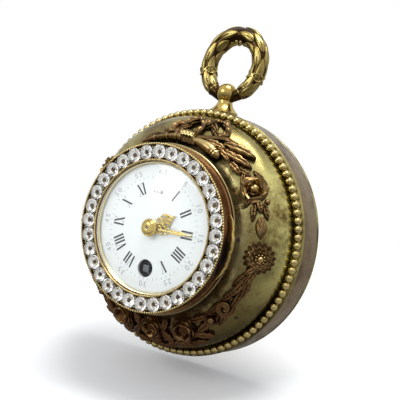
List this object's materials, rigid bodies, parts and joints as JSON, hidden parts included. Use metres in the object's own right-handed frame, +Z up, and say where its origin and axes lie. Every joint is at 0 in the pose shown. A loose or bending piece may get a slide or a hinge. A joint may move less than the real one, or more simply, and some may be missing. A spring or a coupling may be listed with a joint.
{
  "type": "boudoir clock",
  "caption": "Round gilt brass boudoir clock: domed case with a beaded edge, stone-set hinged bezel, enamel dial, pierced hands, lever movement and a laurel hanging ring.",
  "frame": {"origin": "centre of the rear cover's flat face", "axes": "+Z up towards the hanging ring, -Y out of the dial, +X to the dial's three o'clock"},
  "size_m": [0.081, 0.0406, 0.1111],
  "materials": {
    "aged_brass": "tarnished olive gilt",
    "red_brass": "worn reddish brass",
    "gilt_bronze": "matt gilt bronze casting",
    "bright_gilt": "bright gilt",
    "movement_brass": "lacquered brass",
    "steel": "polished steel",
    "enamel": "glossy white enamel",
    "clear_glass": "clear"
  },
  "bodies": {
    "case": {"front_shell": "aged_brass", "bead_gallery": "aged_brass", "case_band": "red_brass", "pendant": "bright_gilt", "pendant_screw": "steel", "hinge_lug_upper": "aged_brass", "hinge_lug_lower": "aged_brass", "hinge_pin": "steel", "dial": "enamel", "front_plate": "movement_brass", "back_plate": "movement_brass", "plate_screw_1": "steel", "plate_screw_2": "steel", "plate_screw_3": "steel", "plate_screw_4": "steel", "movement_screw_1": "steel", "movement_screw_2": "steel", "balance_cock": "movement_brass", "cock_screw": "steel", "click_screw": "steel", "minute_stud": "steel", "ribbon_trophy": "gilt_bronze", "rose_drop_left": "gilt_bronze", "rose_drop_right": "gilt_bronze", "daisy_left": "gilt_bronze", "daisy_right": "gilt_bronze", "garland": "gilt_bronze"},
    "bezel_door": {"bezel": "red_brass", "sight_ring": "bright_gilt", "glass": "clear_glass", "bezel_knuckle": "red_brass", "thumb_lift": "bright_gilt"},
    "ring": {"wreath_ring": "bright_gilt"},
    "cover": {"back_cover": "aged_brass"},
    "minute": {"cannon_pinion": "steel", "minute_hand": "bright_gilt", "hand_collet": "bright_gilt"},
    "hour": {"hour_wheel": "movement_brass", "hour_hand": "bright_gilt"},
    "motion": {"minute_wheel": "movement_brass"},
    "centre": {"centre_arbor": "steel", "centre_wheel": "movement_brass"},
    "third": {"third_arbor": "steel", "third_wheel": "movement_brass"},
    "fourth": {"fourth_arbor": "steel", "fourth_wheel": "movement_brass"},
    "escape": {"escape_arbor": "steel", "escape_wheel": "movement_brass"},
    "barrel": {"barrel_wheel": "movement_brass", "barrel_drum": "movement_brass"},
    "winding": {"winding_arbor": "steel", "ratchet_wheel": "steel"},
    "click_pawl": {"click": "steel"},
    "pallet_lever": {"lever": "steel", "lever_arbor": "steel"},
    "balance": {"balance_wheel": "movement_brass", "balance_staff": "steel"}
  },
  "joints": [
    {"name": "bezel_hinge", "type": "hinge", "parent": "case", "child": "bezel_door", "pos_m": [-0.0281, -0.03235, 0], "axis": [0, 0, -1], "range_deg": [0, 110]},
    {"name": "ring_pivot", "type": "hinge", "parent": "case", "child": "ring", "pos_m": [0, -0.0064, 0.0469], "axis": [1, 0, 0], "range_deg": [-80, 95]},
    {"name": "back_cover_slide", "type": "slide", "parent": "case", "child": "cover", "axis": [0, 1, 0], "range_m": [0, 0.025]},
    {"name": "minute_turn", "type": "hinge", "parent": "case", "child": "minute", "pos_m": [0, -0.037, 0], "axis": [0, 1, 0], "continuous": true},
    {"name": "hour_turn", "type": "hinge", "parent": "case", "child": "hour", "pos_m": [0, -0.0365, 0], "axis": [0, 1, 0], "continuous": true},
    {"name": "minute_wheel_turn", "type": "hinge", "parent": "case", "child": "motion", "pos_m": [0.0052, -0.032, 0.003], "axis": [0, 1, 0], "continuous": true},
    {"name": "third_turn", "type": "hinge", "parent": "case", "child": "third", "pos_m": [0.0054, -0.024, 0.00935], "axis": [0, 1, 0], "continuous": true},
    {"name": "centre_turn", "type": "hinge", "parent": "case", "child": "centre", "pos_m": [0, -0.026, 0], "axis": [0, 1, 0], "continuous": true},
    {"name": "barrel_turn", "type": "hinge", "parent": "case", "child": "barrel", "pos_m": [0, -0.02, -0.0126], "axis": [0, 1, 0], "continuous": true},
    {"name": "fourth_turn", "type": "hinge", "parent": "case", "child": "fourth", "pos_m": [-0.00549, -0.021, 0.01153], "axis": [0, 1, 0], "continuous": true},
    {"name": "escape_turn", "type": "hinge", "parent": "case", "child": "escape", "pos_m": [-0.01347, -0.019, 0.00553], "axis": [0, 1, 0], "continuous": true},
    {"name": "winding_turn", "type": "hinge", "parent": "case", "child": "winding", "pos_m": [0, -0.031, -0.0126], "axis": [0, 1, 0], "continuous": true},
    {"name": "click_lift", "type": "hinge", "parent": "case", "child": "click_pawl", "pos_m": [0.00714, -0.0315, -0.01], "axis": [0, 1, 0], "range_deg": [0, 15]},
    {"name": "lever_swing", "type": "hinge", "parent": "case", "child": "pallet_lever", "pos_m": [-0.01392, -0.019, -0.00085], "axis": [0, 1, 0], "range_deg": [-5, 5]},
    {"name": "balance_swing", "type": "hinge", "parent": "case", "child": "balance", "pos_m": [-0.01448, -0.0126, -0.00878], "axis": [0, 1, 0], "range_deg": [-135, 135]}
  ],
  "couplings": [
    {"joint": "hour_turn", "follows": "minute_turn", "ratio": 0.083333},
    {"joint": "minute_wheel_turn", "follows": "minute_turn", "ratio": -0.33333},
    {"joint": "centre_turn", "follows": "third_turn", "ratio": -0.125},
    {"joint": "barrel_turn", "follows": "third_turn", "ratio": 0.020833},
    {"joint": "escape_turn", "follows": "fourth_turn", "ratio": -8}
  ]
}
